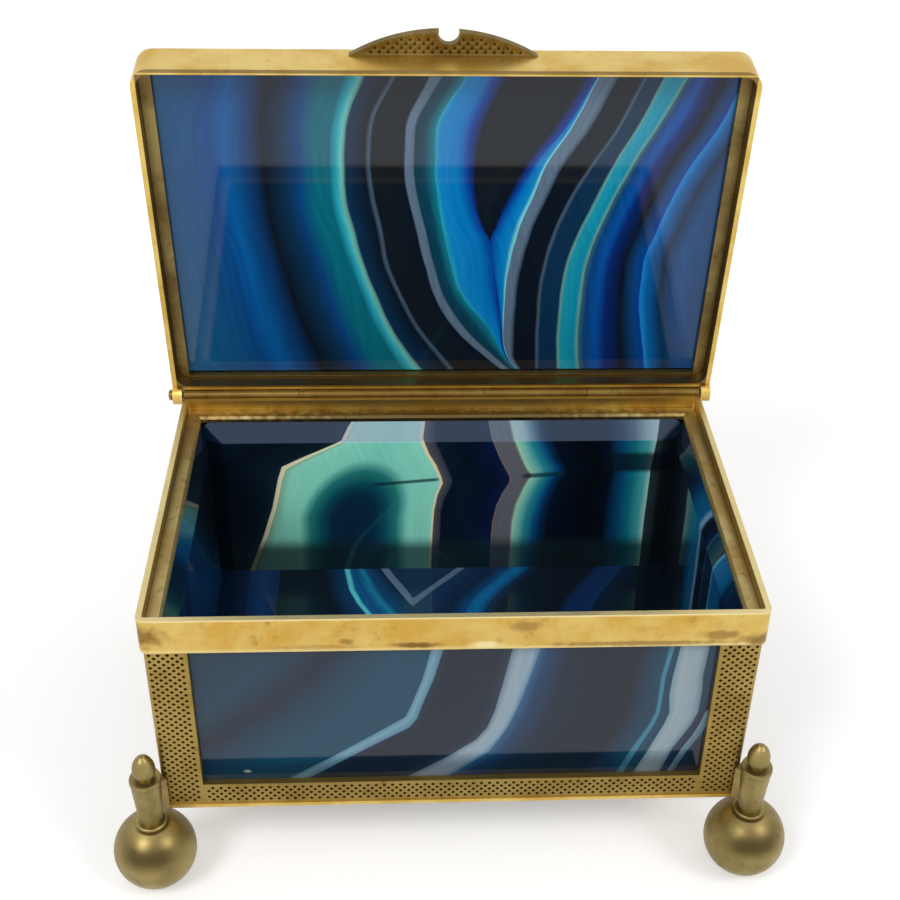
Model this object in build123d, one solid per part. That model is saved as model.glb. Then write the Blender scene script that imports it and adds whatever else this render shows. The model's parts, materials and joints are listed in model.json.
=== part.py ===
from build123d import *
import math
import os

# A miniature casket: six slices of polished agate held in a gilt brass frame, on four ball feet,
# with a hinged lid that stands open on a stop. Millimetres. +X right, +Y back, +Z up.
# The origin lies on the table, under the middle of the rim.

# Body of the casket
rim_width = 72.0
rim_depth = 47.0
rim_corner_radius = 1.0
least_corner_radius = 0.1
body_height = 30.6

# Rim band: the plain strip round the mouth
rim_band_height = 4.8
rim_band_thickness = 0.7

# Pricked strips below the rim band: corner stiles and bottom rails
strip_thickness = 0.8
strip_set_back = 0.35
stile_leg = 5.0
rail_height = 3.3

# Bottom frame: the flat ring that the floor lies on
bottom_frame_thickness = 0.7
bottom_frame_set_back = 0.2
bottom_frame_edge_radius = 0.25

# Agate slices of the walls and the floor. The bevels run along the top and the ends of each wall.
wall_thickness = 2.5
wall_bevel_width = 2.8
wall_bevel_depth = 1.15
wall_corner_radius = 1.5
floor_thickness = 2.35

# Bezel: the ledge inside the rim band that covers the top edges of the walls
bezel_drop = 1.55
bezel_thickness = 0.8
bezel_width = 1.85
bezel_chamfer = 0.3

# Posts hidden in the four corners, between the ends of the walls
post_edge_radius = 1.1

# Joint lines of solder and cement
joint_gap = 0.05

# Feet: ball, turned post with a finial, and the stud that joins them
foot_offset = 1.15
ball_radius = 5.1
ball_bottom_flat_depth = 0.35
ball_seat_depth = 0.5
body_above_ball_seat = 0.8
stud_radius = 0.8
stud_length = 8.0
stud_clearance = 0.05
ball_bore_depth = 4.4
foot_ring_radius = 1.75
foot_ring_bulge = 0.15
foot_ring_height = 0.55
foot_neck_radius = 1.25
foot_neck_height = 0.75
foot_vase_low_radius = 1.5
foot_vase_high_radius = 1.85
foot_vase_height = 5.7
foot_collar_radius = 1.95
foot_collar_height = 0.9
finial_neck_radius = 0.95
finial_neck_height = 0.6
finial_foot_radius = 1.3
finial_swell_radius = 1.4
finial_swell_height = 0.9
finial_tip_radius = 0.8
finial_height = 2.5
finial_cap_height = 0.4
finial_cap_radius = 0.35
foot_lug_width = 1.8
foot_lug_height = 5.0

# Lid
lid_overhang = 1.4
lid_front_overhang = 0.35
lid_corner_radius = 2.2
lid_ear_radius = 0.8
lid_ear_gap = 0.15
lid_ear_height_gap = 0.05
lid_eye_radius = 1.3
lid_eye_gap = 0.1
lid_band_thickness = 0.65
lid_recess = 2.0
lid_bezel_thickness = 0.8
lid_bezel_side_width = 1.5
lid_bezel_front_width = 0.3
lid_agate_thickness = 2.5
lid_agate_inner_bevel = 0.5
lid_agate_outer_bevel = 0.8
lid_top_thickness = 0.75
lid_top_border = 5.2
lid_top_edge_radius = 0.6
rim_gap = 0.1
lid_open_angle = 83.0

# Thumbpiece: a crescent with a notch, on the front of the lid band
thumb_chord = 22.6
thumb_centre_x = -0.6
thumb_reach = 3.15
thumb_thickness = 1.0
thumb_height_on_lid = 3.7
thumb_notch_radius = 1.25
thumb_notch_depth = 1.65

# Hinge: three knuckles on one pin, behind the rim
knuckle_radius = 0.75
knuckle_stand_off = 0.1
hinge_end_set_back = 0.1
lid_knuckle_length = 40.0
knuckle_end_gap = 0.1
pin_radius = 0.35
pin_clearance = 0.03
pin_knob_radius = 0.75
pin_knob_thickness = 0.55
pin_knob_fillet = 0.35
pin_knob_gap = 0.1
pin_eye_clearance = 0.05
web_drop = 0.1
stop_rail_gap = 0.2
stop_rail_thickness = 0.6
stop_rail_height = 1.6
stop_gap = 0.03

# Places worked out from the sizes
ball_centre_z = ball_radius - ball_bottom_flat_depth
ball_seat_z = ball_centre_z + ball_radius - ball_seat_depth
stud_bottom_z = ball_seat_z - ball_bore_depth + stud_clearance
stud_top_z = stud_bottom_z + stud_length
body_bottom_z = ball_seat_z + body_above_ball_seat
rim_z = body_bottom_z + body_height
floor_bottom_z = body_bottom_z + bottom_frame_thickness
floor_top_z = floor_bottom_z + floor_thickness
bezel_top_z = rim_z - bezel_drop
bezel_bottom_z = bezel_top_z - bezel_thickness
band_bottom_z = rim_z - rim_band_height
wall_set_back = strip_set_back + strip_thickness
wall_end_set_back = wall_set_back + wall_thickness - wall_bevel_depth
wall_height = bezel_bottom_z - floor_top_z
half_width = rim_width / 2
half_depth = rim_depth / 2
sides = (-1, 1)


def outline(set_back, corner_radius):
    """The rim's outline, moved in by set_back, with its corners rounded."""
    return RectangleRounded(rim_width - 2 * set_back, rim_depth - 2 * set_back, corner_radius)


def corner_at(set_back):
    """The corner radius that keeps an outline parallel to the rim's, or nearly sharp."""
    return max(rim_corner_radius - set_back, least_corner_radius)


def frame_ring(outer, inner, height):
    return extrude(outer, height) - extrude(inner, height)


# Rim band, bezel and bottom frame
def make_rim_band():
    inner = outline(rim_band_thickness, corner_at(rim_band_thickness))
    ring = frame_ring(outline(0, rim_corner_radius), inner, rim_band_height)
    return Pos(0, 0, band_bottom_z) * ring


def make_bezel():
    set_back = rim_band_thickness + joint_gap
    outer = outline(set_back, corner_at(set_back))
    inner_set_back = rim_band_thickness + bezel_width
    inner = Rectangle(rim_width - 2 * inner_set_back, rim_depth - 2 * inner_set_back)
    ring = frame_ring(outer, inner, bezel_thickness)
    inner_edges = ring.faces().sort_by(Axis.Z)[-1].inner_wires()[0].edges()
    return Pos(0, 0, bezel_bottom_z) * chamfer(inner_edges, bezel_chamfer)


def make_bottom_frame():
    inner_set_back = strip_set_back + stile_leg
    inner = Rectangle(rim_width - 2 * inner_set_back, rim_depth - 2 * inner_set_back)
    outer = extrude(outline(bottom_frame_set_back, corner_at(bottom_frame_set_back)), bottom_frame_thickness)
    lower_edges = outer.faces().sort_by(Axis.Z)[0].edges()
    ring = fillet(lower_edges, bottom_frame_edge_radius) - extrude(inner, bottom_frame_thickness)
    return Pos(0, 0, body_bottom_z) * ring


# Pricked strips: one angle at each corner, and one rail between each pair
def make_stiles():
    """Four corner angles, cut out of one rounded tube. Keys are (x side, y side)."""
    height = band_bottom_z - floor_bottom_z
    outer = outline(strip_set_back, corner_at(strip_set_back))
    tube = frame_ring(outer, outline(wall_set_back, corner_at(wall_set_back)), height)
    stiles = {}
    for y_side in sides:
        for x_side in sides:
            leg_centre_x = x_side * (half_width - strip_set_back - stile_leg / 2)
            leg_centre_y = y_side * (half_depth - strip_set_back - stile_leg / 2)
            keep = Pos(leg_centre_x, leg_centre_y, height / 2) * Box(stile_leg, stile_leg, height)
            stiles[(x_side, y_side)] = Pos(0, 0, floor_bottom_z) * (tube & keep)
    return stiles


def make_rails():
    """Four bottom rails, keyed by the wall that they run under."""
    rail_z = floor_bottom_z + rail_height / 2
    long_rail = rim_width - 2 * (strip_set_back + stile_leg)
    short_rail = rim_depth - 2 * (strip_set_back + stile_leg)
    rail_centre = strip_set_back + strip_thickness / 2
    rails = {}
    for name, side in (("front", -1), ("back", 1)):
        place = Pos(0, side * (half_depth - rail_centre), rail_z)
        rails[name] = place * Box(long_rail, strip_thickness, rail_height)
    for name, side in (("left", -1), ("right", 1)):
        place = Pos(side * (half_width - rail_centre), 0, rail_z)
        rails[name] = place * Box(strip_thickness, short_rail, rail_height)
    return rails


# Agate walls and floor
def bevelled_slice(length, height):
    """A slice standing on z = 0 with its outer face at y = 0. Its inner face is bevelled at the top and the ends."""
    sketch = Plane.XZ * RectangleRounded(length, height, wall_corner_radius)
    slab = Pos(0, 0, height / 2) * extrude(sketch, -wall_thickness)
    inner_y = wall_thickness
    for side in sides:
        end = side * length / 2
        tip = Polyline(
            (end, inner_y - wall_bevel_depth),
            (end - side * wall_bevel_width, inner_y),
            (end, inner_y),
            close=True,
        )
        slab -= extrude(make_face(tip), height)
    tip = Plane.YZ * Polyline(
        (inner_y - wall_bevel_depth, height),
        (inner_y, height - wall_bevel_width),
        (inner_y, height),
        close=True,
    )
    return slab - extrude(make_face(tip), length / 2, both=True)


def make_walls():
    long_wall = rim_width - 2 * wall_end_set_back
    short_wall = rim_depth - 2 * wall_end_set_back
    walls = {}
    for name, length, distance, turn in (
        ("front", long_wall, half_depth, 0),
        ("right", short_wall, half_width, 90),
        ("back", long_wall, half_depth, 180),
        ("left", short_wall, half_width, 270),
    ):
        place = Pos(0, 0, floor_top_z) * Rot(0, 0, turn) * Pos(0, wall_set_back - distance, 0)
        walls[name] = place * bevelled_slice(length, wall_height)
    return walls


def make_floor():
    set_back = wall_set_back + joint_gap
    slab = extrude(outline(set_back, post_edge_radius), floor_thickness)
    return Pos(0, 0, floor_bottom_z) * slab


def make_corner_posts():
    """Four small posts that fill the corners between the ends of the walls."""
    side_length = wall_end_set_back - wall_set_back - 2 * joint_gap
    centre_set_back = (wall_set_back + wall_end_set_back) / 2
    posts = []
    for y_side in sides:
        for x_side in sides:
            post = Box(side_length, side_length, wall_height)
            outwards = Axis((0, 0, 0), (x_side, y_side, 0))
            outer_edge = post.edges().filter_by(Axis.Z).sort_by(outwards)[-1]
            place = Pos(
                x_side * (half_width - centre_set_back),
                y_side * (half_depth - centre_set_back),
                floor_top_z + wall_height / 2,
            )
            posts.append(place * fillet(outer_edge, post_edge_radius))
    return Compound(children=posts)


# Feet
def foot_place(x_side, y_side):
    return x_side * (half_width + foot_offset), y_side * (half_depth + foot_offset)


def make_ball(x_side, y_side):
    x, y = foot_place(x_side, y_side)
    height = ball_seat_z
    ball = Pos(0, 0, ball_centre_z) * Sphere(ball_radius)
    keep = Pos(0, 0, height / 2) * Box(4 * ball_radius, 4 * ball_radius, height)
    bore_centre_z = ball_seat_z - ball_bore_depth / 2
    bore = Pos(0, 0, bore_centre_z) * Cylinder(stud_radius + stud_clearance, ball_bore_depth)
    return Pos(x, y, 0) * ((ball & keep) - bore)


def post_profile():
    """Half of the turned post, from its axis outwards, standing on z = 0."""
    ring_z = foot_ring_height
    neck_z = ring_z + foot_neck_height
    vase_z = neck_z + foot_vase_height
    collar_z = vase_z + foot_collar_height
    finial_z = collar_z + finial_neck_height
    tip_z = finial_z + finial_height
    cap_z = tip_z + finial_cap_height
    lines = [
        Line((0, 0), (foot_ring_radius, 0)),
        ThreePointArc(
            (foot_ring_radius, 0),
            (foot_ring_radius + foot_ring_bulge, ring_z / 2),
            (foot_ring_radius, ring_z),
        ),
        Line((foot_ring_radius, ring_z), (foot_neck_radius, ring_z)),
        Line((foot_neck_radius, ring_z), (foot_neck_radius, neck_z)),
        Line((foot_neck_radius, neck_z), (foot_vase_low_radius, neck_z)),
        Line((foot_vase_low_radius, neck_z), (foot_vase_high_radius, vase_z)),
        ThreePointArc(
            (foot_vase_high_radius, vase_z),
            (foot_collar_radius, (vase_z + collar_z) / 2),
            (foot_vase_high_radius, collar_z),
        ),
        Line((foot_vase_high_radius, collar_z), (finial_neck_radius, collar_z)),
        Line((finial_neck_radius, collar_z), (finial_neck_radius, finial_z)),
        Line((finial_neck_radius, finial_z), (finial_foot_radius, finial_z)),
        ThreePointArc(
            (finial_foot_radius, finial_z),
            (finial_swell_radius, finial_z + finial_swell_height),
            (finial_tip_radius, tip_z),
        ),
        Line((finial_tip_radius, tip_z), (finial_cap_radius, cap_z)),
        Line((finial_cap_radius, cap_z), (0, cap_z)),
        Line((0, cap_z), (0, 0)),
    ]
    return make_face(Plane.XZ * Wire(lines))


def make_post(x_side, y_side):
    """The turned post, with the lug that is soldered to the corner of the casket."""
    x, y = foot_place(x_side, y_side)
    post = revolve(post_profile(), Axis.Z)
    corner_reach = (rim_corner_radius + foot_offset) * math.sqrt(2) - corner_at(strip_set_back)
    lug_length = corner_reach - joint_gap
    lug_bottom = floor_bottom_z - ball_seat_z
    lug_centre = Pos(lug_length / 2, 0, lug_bottom + foot_lug_height / 2)
    lug = lug_centre * Box(lug_length, foot_lug_width, foot_lug_height)
    towards_casket = math.degrees(math.atan2(-y_side, -x_side))
    bore_depth = stud_top_z - ball_seat_z + stud_clearance
    bore = Pos(0, 0, bore_depth / 2) * Cylinder(stud_radius + stud_clearance, bore_depth)
    return Pos(x, y, ball_seat_z) * (post + Rot(0, 0, towards_casket) * lug - bore)


def make_studs():
    studs = []
    for y_side in sides:
        for x_side in sides:
            x, y = foot_place(x_side, y_side)
            studs.append(Pos(x, y, (stud_bottom_z + stud_top_z) / 2) * Cylinder(stud_radius, stud_length))
    return Compound(children=studs)


# Hinge. The axis runs along X, behind the rim, in the joint between the casket and the lid.
hinge_span = rim_width - 2 * hinge_end_set_back
hinge_set_off = knuckle_radius + knuckle_stand_off
hinge_y = half_depth + hinge_set_off
hinge_z = rim_z + rim_gap / 2
lid_width = rim_width + 2 * lid_overhang
base_knuckle_length = (hinge_span - lid_knuckle_length) / 2 - knuckle_end_gap
base_knuckle_centre = (hinge_span - base_knuckle_length) / 2
bore_radius = pin_radius + pin_clearance
open_angle = math.radians(lid_open_angle)


def make_knuckle(centre_x, length, web_side):
    """A knuckle with the web that joins it to the casket (web_side -1) or to the lid (web_side 1)."""
    barrel = Cylinder(knuckle_radius, length, rotation=(0, 90, 0))
    web_height = knuckle_radius - web_drop
    web_centre = Pos(0, -hinge_set_off / 2, web_side * (web_drop + web_height / 2))
    web = web_centre * Box(length, hinge_set_off, web_height)
    bore = Cylinder(bore_radius, length, rotation=(0, 90, 0))
    return Pos(centre_x, hinge_y, hinge_z) * (barrel + web - bore)


def make_pin():
    """The pin, as long as the lid is wide, with the riveted head on its left end."""
    shank_length = lid_width + pin_knob_gap
    shank = Pos(-pin_knob_gap / 2, 0, 0) * Cylinder(pin_radius, shank_length, rotation=(0, 90, 0))
    head = Cylinder(pin_knob_radius, pin_knob_thickness, rotation=(0, 90, 0))
    head = fillet(head.edges().filter_by(GeomType.CIRCLE).sort_by(Axis.X)[0], pin_knob_fillet)
    head_x = -lid_width / 2 - pin_knob_gap - pin_knob_thickness / 2
    return Pos(0, hinge_y, hinge_z) * (shank + Pos(head_x, 0, 0) * head)


def make_stop_rail():
    """An upstand behind the knuckles. The back of the lid lands on it and stands open."""
    inner_y = knuckle_radius + stop_rail_gap
    outer_y = inner_y + stop_rail_thickness
    landing = (inner_y + hinge_set_off * math.cos(open_angle)) / math.sin(open_angle)
    top_z = hinge_set_off * math.sin(open_angle) + landing * math.cos(open_angle) - stop_gap
    shelf_z = -knuckle_radius - stop_rail_gap
    section = Plane.YZ * Polyline(
        (-hinge_set_off, shelf_z),
        (inner_y, shelf_z),
        (inner_y, top_z),
        (outer_y, top_z),
        (outer_y, shelf_z - stop_rail_height),
        (-hinge_set_off, shelf_z - stop_rail_height),
        close=True,
    )
    rail = extrude(make_face(section), hinge_span / 2, both=True)
    return Pos(0, hinge_y, hinge_z) * rail


# Lid, modelled closed and then swung open about the hinge
lid_depth = rim_depth + lid_front_overhang
lid_centre_y = -lid_front_overhang / 2
lid_bottom_z = rim_z + rim_gap
lid_bezel_z = lid_bottom_z + lid_recess
lid_agate_z = lid_bezel_z + lid_bezel_thickness
lid_top_z = lid_agate_z + lid_agate_thickness


def lid_outline(set_back, corner_radius):
    sketch = RectangleRounded(lid_width - 2 * set_back, lid_depth - 2 * set_back, corner_radius)
    return Pos(0, lid_centre_y) * sketch


def lid_shell_outline():
    """The lid's outline with an ear at each rear corner, which reaches back beside the hinge."""
    ear_start = hinge_span / 2 + lid_ear_gap
    ear_width = lid_width / 2 - ear_start
    ear_depth = lid_corner_radius + hinge_set_off - lid_ear_height_gap
    rear_y = half_depth + hinge_set_off - lid_ear_height_gap
    shell = lid_outline(0, lid_corner_radius)
    for side in sides:
        ear = Pos(side * (ear_start + ear_width / 2), rear_y - ear_depth / 2) * Rectangle(ear_width, ear_depth)
        shell += ear
        shell = fillet(shell.vertices().sort_by_distance((side * lid_width / 2, rear_y))[0], lid_ear_radius)
    return shell


def swung_open(closed):
    return closed.rotate(Axis((0, hinge_y, hinge_z), (1, 0, 0)), -lid_open_angle)


def make_lid_band():
    """The lid's plain side strip. Each ear ends in an eye beside the rim, and the hinge pin passes through both."""
    inner = lid_outline(lid_band_thickness, lid_corner_radius - lid_band_thickness)
    band = Pos(0, 0, lid_bottom_z) * frame_ring(lid_shell_outline(), inner, lid_top_z - lid_bottom_z)
    eye_thickness = lid_overhang - lid_eye_gap
    for side in sides:
        eye = Cylinder(lid_eye_radius, eye_thickness, rotation=(0, 90, 0))
        band += Pos(side * (lid_width - eye_thickness) / 2, hinge_y, hinge_z) * eye
    eye_bore_radius = pin_radius + pin_eye_clearance
    return band - Pos(0, hinge_y, hinge_z) * Cylinder(eye_bore_radius, lid_width, rotation=(0, 90, 0))


def make_lid_bezel():
    """The ledge inside the lid that the agate rests on, wide at the two sides and narrow at front and back."""
    set_back = lid_band_thickness + joint_gap
    window_width = lid_width - 2 * (lid_band_thickness + lid_bezel_side_width)
    window_depth = lid_depth - 2 * (lid_band_thickness + lid_bezel_front_width)
    window = Pos(0, lid_centre_y) * Rectangle(window_width, window_depth)
    ring = frame_ring(lid_outline(set_back, lid_corner_radius - set_back), window, lid_bezel_thickness)
    return Pos(0, 0, lid_bezel_z) * ring


def make_lid_agate():
    set_back = lid_band_thickness + joint_gap
    slab = extrude(lid_outline(set_back, lid_corner_radius - set_back), lid_agate_thickness)
    inner_edges = slab.faces().sort_by(Axis.Z)[0].edges()
    slab = chamfer(inner_edges, lid_agate_inner_bevel)
    outer_edges = slab.faces().sort_by(Axis.Z)[-1].edges()
    return Pos(0, 0, lid_agate_z) * chamfer(outer_edges, lid_agate_outer_bevel)


def make_lid_top():
    slab = extrude(lid_shell_outline(), lid_top_thickness)
    upper_edges = slab.faces().sort_by(Axis.Z)[-1].edges()
    window = Pos(0, lid_centre_y) * Rectangle(lid_width - 2 * lid_top_border, lid_depth - 2 * lid_top_border)
    frame = fillet(upper_edges, lid_top_edge_radius) - extrude(window, lid_top_thickness)
    return Pos(0, 0, lid_top_z) * frame


def make_thumbpiece():
    """A flat crescent: a segment of a disc, with a notch in its arc at the middle of the lid."""
    disc_radius = (thumb_chord**2 / 4 + thumb_reach**2) / (2 * thumb_reach)
    front_y = lid_centre_y - lid_depth / 2
    disc_y = front_y - thumb_reach + disc_radius
    disc = Pos(thumb_centre_x, disc_y) * Circle(disc_radius)
    keep = Pos(thumb_centre_x, front_y - thumb_reach / 2) * Rectangle(2 * disc_radius, thumb_reach)
    notch_y = front_y - thumb_reach + thumb_notch_depth - thumb_notch_radius
    notch = Pos(0, notch_y) * Circle(thumb_notch_radius)
    plate = extrude((disc & keep) - notch, thumb_thickness)
    return Pos(0, 0, lid_bottom_z + thumb_height_on_lid) * plate


# Gather the pieces under the names that their files get
corner_names = {(-1, -1): "front_left", (1, -1): "front_right", (-1, 1): "back_left", (1, 1): "back_right"}
pieces = {
    "rim_band": make_rim_band(),
    "wall_bezel": make_bezel(),
    "bottom_frame": make_bottom_frame(),
    "agate_floor": make_floor(),
    "corner_posts": make_corner_posts(),
    "foot_studs": make_studs(),
    "hinge_knuckle_left": make_knuckle(-base_knuckle_centre, base_knuckle_length, -1),
    "hinge_knuckle_right": make_knuckle(base_knuckle_centre, base_knuckle_length, -1),
    "hinge_pin": make_pin(),
    "hinge_stop_rail": make_stop_rail(),
    "lid_band": swung_open(make_lid_band()),
    "lid_bezel": swung_open(make_lid_bezel()),
    "lid_agate": swung_open(make_lid_agate()),
    "lid_top_frame": swung_open(make_lid_top()),
    "lid_thumbpiece": swung_open(make_thumbpiece()),
    "lid_knuckle": swung_open(make_knuckle(0, lid_knuckle_length, 1)),
}
for corner, stile in make_stiles().items():
    pieces["corner_stile_" + corner_names[corner]] = stile
for side_name, rail in make_rails().items():
    pieces["bottom_rail_" + side_name] = rail
for side_name, wall in make_walls().items():
    pieces["agate_" + side_name] = wall
for corner, corner_name in corner_names.items():
    pieces["foot_ball_" + corner_name] = make_ball(*corner)
    pieces["foot_post_" + corner_name] = make_post(*corner)

os.makedirs("parts", exist_ok=True)
for node, solid in pieces.items():
    export_step(solid, f"parts/{node}.step")
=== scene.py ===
# %% [markdown]
# # A miniature agate casket
#
# The casket is a gilt brass frame that holds six polished slices of dyed blue agate. Its CAD model is the
# fixed frame of this scene: every node is already at its real size and place, in metres, so the lesson is
# about finish. Three jobs remain. The stone needs veins, the brass needs age, and the brass strips need the
# rows of dots that were punched into them by hand.
#
# The first cell loads the frame and notes its box. Lengths below are written in millimetres, because the
# casket is only 84 mm wide, and MM turns them into Blender's metres.

# %% Load the frame
import json
import math

import bmesh
import bpy
from mathutils import Euler, Matrix, Vector


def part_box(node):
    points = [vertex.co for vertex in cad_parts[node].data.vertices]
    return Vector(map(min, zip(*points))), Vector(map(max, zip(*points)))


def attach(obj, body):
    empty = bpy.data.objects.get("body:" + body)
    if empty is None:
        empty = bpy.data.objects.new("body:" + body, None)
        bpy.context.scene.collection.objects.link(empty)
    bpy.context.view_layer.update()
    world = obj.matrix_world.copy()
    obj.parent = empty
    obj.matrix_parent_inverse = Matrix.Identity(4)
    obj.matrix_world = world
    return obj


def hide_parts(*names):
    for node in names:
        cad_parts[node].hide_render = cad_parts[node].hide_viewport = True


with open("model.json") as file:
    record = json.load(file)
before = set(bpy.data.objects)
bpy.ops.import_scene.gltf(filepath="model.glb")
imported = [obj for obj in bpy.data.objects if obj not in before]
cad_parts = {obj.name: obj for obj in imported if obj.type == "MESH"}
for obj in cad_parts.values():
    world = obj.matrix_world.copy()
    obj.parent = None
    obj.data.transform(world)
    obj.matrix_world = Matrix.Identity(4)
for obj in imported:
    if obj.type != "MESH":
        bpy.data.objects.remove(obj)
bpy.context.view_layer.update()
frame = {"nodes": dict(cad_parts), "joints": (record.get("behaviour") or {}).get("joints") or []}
MM = 0.001
nodes = frame["nodes"]
hinge = frame["joints"][0]
hinge_place = Vector(hinge["pos_m"])
lid_turn = math.radians(hinge["range_deg"][1])
rim_low, rim_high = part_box("rim_band")
print("nodes", len(nodes), "lid opens", round(math.degrees(lid_turn)), "degrees")

# %% [markdown]
# ## Helpers for materials
#
# A procedural material is a small network of nodes. Wiring it by hand in the editor is slow to repeat, so a
# few helpers add a node, set its values and link its inputs in one call. A value can be a number or the
# output of another node, and the new node joins that node's network.


# %% Node helpers
def new_material(name):
    material = bpy.data.materials.new(name)
    material.use_nodes = True
    return material


def put(socket, value):
    """Sets a socket to a number, or links it to another node's output."""
    if isinstance(value, bpy.types.NodeSocket):
        socket.id_data.links.new(value, socket)
    else:
        socket.default_value = value


def add_node(kind, inputs, output=0, **settings):
    """Adds a node to the tree that its inputs come from, and returns one of its outputs."""
    tree = next(value.id_data for value in inputs.values() if isinstance(value, bpy.types.NodeSocket))
    node = tree.nodes.new(kind)
    for name, value in settings.items():
        setattr(node, name, value)
    for name, value in inputs.items():
        put(node.inputs[name], value)
    return node.outputs[output]


def math_node(operation, first, second=0.0, clamp=False):
    return add_node("ShaderNodeMath", {0: first, 1: second}, operation=operation, use_clamp=clamp)


def product(*factors):
    """All the factors multiplied."""
    total = factors[0]
    for factor in factors[1:]:
        total = math_node("MULTIPLY", total, factor)
    return total


def noise_node(vector, scale, detail, roughness=0.5):
    inputs = {"Vector": vector, "Scale": scale, "Detail": detail, "Roughness": roughness}
    return add_node("ShaderNodeTexNoise", inputs, "Fac")


def map_range(value, low, high, new_low=0.0, new_high=1.0, smooth=True):
    inputs = {"Value": value, "From Min": low, "From Max": high, "To Min": new_low, "To Max": new_high}
    kind = "SMOOTHSTEP" if smooth else "LINEAR"
    return add_node("ShaderNodeMapRange", inputs, "Result", interpolation_type=kind)


def mix_colour(amount, first, second):
    return add_node("ShaderNodeMix", {"Factor": amount, "A": first, "B": second}, "Result", data_type="RGBA")


def mapped(material, rotation=(0, 0, 0), place=(0, 0, 0)):
    """The object's own coordinates in millimetres, turned and moved."""
    coordinate = material.node_tree.nodes.new("ShaderNodeTexCoord").outputs["Object"]
    inputs = {"Vector": coordinate, "Rotation": rotation, "Location": place, "Scale": (1 / MM,) * 3}
    return add_node("ShaderNodeMapping", inputs)


def separate(vector):
    """The X, Y and Z of a vector."""
    return tuple(add_node("ShaderNodeSeparateXYZ", {0: vector}).node.outputs)


def set_surface(material, values):
    """Sets inputs of the material's shader by their names."""
    for name, value in values.items():
        put(material.node_tree.nodes["Principled BSDF"].inputs[name], value)


def srgb(red, green, blue):
    """A colour as a paint chart gives it, 0 to 255, as the linear colour that shaders use."""
    def linear(value):
        part = value / 255
        return part / 12.92 if part <= 0.04045 else ((part + 0.055) / 1.055) ** 2.4
    return linear(red), linear(green), linear(blue), 1.0


print("helpers ready")

# %% [markdown]
# ## Aged brass
#
# The frame is gilt brass, more than a century old. The gilding has worn to a satin gold on the rim, and the
# strips below have gone olive. Dirt and old lacquer stay where a cloth doesn't reach. Each brass below mixes
# three colours by noise at two scales: wide clouds of tone, and small brown specks. The same noise moves the
# roughness, because tarnish is duller than gold.

# %% A brass material
CLOUDS_PER_MM = 0.16
CLOUD_TONES = (0.35, 0.65)
CLOUD_SHINE = (0.3, 0.7)
SHINE_SPREAD = 0.1
GRAINS_PER_MM = 6.0
BROWN_FROM, BROWN_TO = 0.62, 0.86
BROWN_STRENGTH = 0.8
BROWN_DULLNESS = 0.2
BUMP_STRENGTH = 0.12
BUMP_DEPTH = 0.05 * MM
STAIN_NOISE_PER_MM = 0.9
STAIN_UNEVEN = 0.9
STAIN_EDGE = (0.75, 1.45)


def aged_brass(name, gold, deep, brown, roughness, speck_size, brown_share):
    """A brass material, its colour output, and its place output in millimetres, from paint chart colours."""
    material = new_material(name)
    place = mapped(material)
    clouds = noise_node(place, CLOUDS_PER_MM, 4.0, 0.6)
    specks = noise_node(place, 1 / speck_size, 5.0, 0.65)
    grain = noise_node(place, GRAINS_PER_MM, 2.0)
    toned = mix_colour(map_range(clouds, *CLOUD_TONES), srgb(*gold), srgb(*deep))
    brown_mask = map_range(specks, BROWN_FROM - brown_share, BROWN_TO - brown_share, 0.0, BROWN_STRENGTH)
    colour = mix_colour(brown_mask, toned, srgb(*brown))
    dull = map_range(clouds, *CLOUD_SHINE, roughness, roughness + SHINE_SPREAD)
    rough = math_node("ADD", dull, product(brown_mask, BROWN_DULLNESS))
    inputs = {"Strength": BUMP_STRENGTH, "Distance": BUMP_DEPTH, "Height": math_node("ADD", grain, specks)}
    bump = add_node("ShaderNodeBump", inputs, "Normal")
    set_surface(material, {"Metallic": 1.0, "Base Color": colour, "Roughness": rough, "Normal": bump})
    return material, colour, place


def smudge(place, centre, reach):
    """1 in the middle of an oval stain, 0 outside it. Centre and reach are in millimetres."""
    inputs = {"Vector": place, "Location": centre, "Scale": reach}
    offset = add_node("ShaderNodeMapping", inputs, vector_type="TEXTURE")
    distance = add_node("ShaderNodeVectorMath", {0: offset}, "Value", operation="LENGTH")
    uneven = product(noise_node(place, STAIN_NOISE_PER_MM, 3.0), STAIN_UNEVEN)
    return map_range(math_node("ADD", distance, uneven), *STAIN_EDGE, 1.0, 0.0)


def stained(material, colour, place, stains):
    """The colour with stains over it. stains holds (centre, reach, colour, strength)."""
    for centre, reach, tone, strength in stains:
        mask = smudge(place, centre, reach)
        colour = mix_colour(product(mask, strength), colour, srgb(*tone))
    set_surface(material, {"Base Color": colour})


print("brass material ready")

# %% [markdown]
# ## The rim
#
# Fingers have worn the rim's top, less so at the back, and its lower edge to a pale gold. Brown stains lie along
# the front. Each stain is an oval at a place on the rim, whose edge is broken up by noise.

# %% Rim brass
rim_top = rim_high.z / MM
rim_front = rim_low.y / MM
rim_side = rim_high.x / MM
TOP_WEAR, BACK_WEAR, LOW_WEAR = (0.35, 0.1), (1.2, 0.8), (4.6, 4.2)
WEAR_STRENGTH = 0.8
umber = (112, 78, 34)
pale_gold = (232, 216, 160)
rim_gold, rim_colour, rim_place = aged_brass(
    "rim_gold", (208, 180, 104), (198, 158, 72), (146, 108, 50), 0.34, 2.0, 0.06)
_, rim_y, rim_z = separate(rim_place)
worn_top = map_range(rim_z, rim_top - TOP_WEAR[0], rim_top - TOP_WEAR[1])
not_back = map_range(rim_y, -rim_front - BACK_WEAR[0], -rim_front - BACK_WEAR[1], 1.0, 0.2)
worn_low = map_range(rim_z, rim_top - LOW_WEAR[0], rim_top - LOW_WEAR[1], 0.5, 0.0)
worn = product(math_node("MAXIMUM", product(worn_top, not_back), worn_low), WEAR_STRENGTH)
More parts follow.
